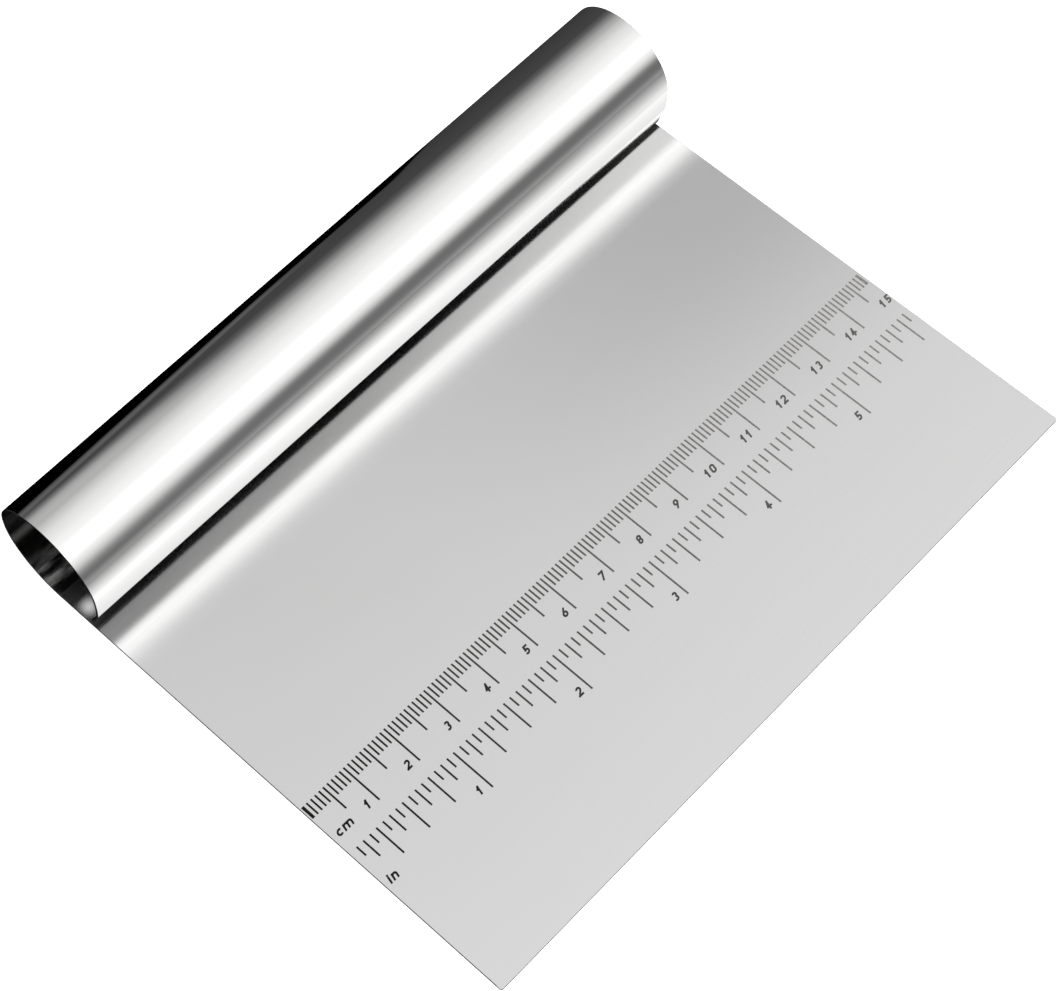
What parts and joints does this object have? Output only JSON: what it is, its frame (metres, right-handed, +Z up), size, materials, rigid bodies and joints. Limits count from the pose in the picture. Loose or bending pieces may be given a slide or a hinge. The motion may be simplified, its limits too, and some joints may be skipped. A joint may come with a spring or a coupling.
{
  "type": "bench scraper",
  "caption": "Flat steel bench scraper blade with a rolled, open-ended tube handle along the back edge and printed centimetre and inch scales.",
  "frame": {"origin": "middle of the outline, on the underside that the scraper lies on", "axes": "+X along the handle to the right-hand end, +Y from the front edge to the handle, +Z up out of the face with the scales"},
  "size_m": [0.1494, 0.1204, 0.0252],
  "materials": {
    "blade_steel": "fine satin",
    "handle_steel": "mirror polished stainless steel",
    "scale_ink": "thin matte ink"
  },
  "bodies": {
    "root": {"blade": "blade_steel", "handle_roll": "handle_steel", "cm_scale_marks": "scale_ink", "cm_scale_numerals": "scale_ink", "cm_unit_mark": "scale_ink", "inch_scale_marks": "scale_ink", "inch_scale_numerals": "scale_ink", "inch_unit_mark": "scale_ink"}
  },
  "joints": []
}
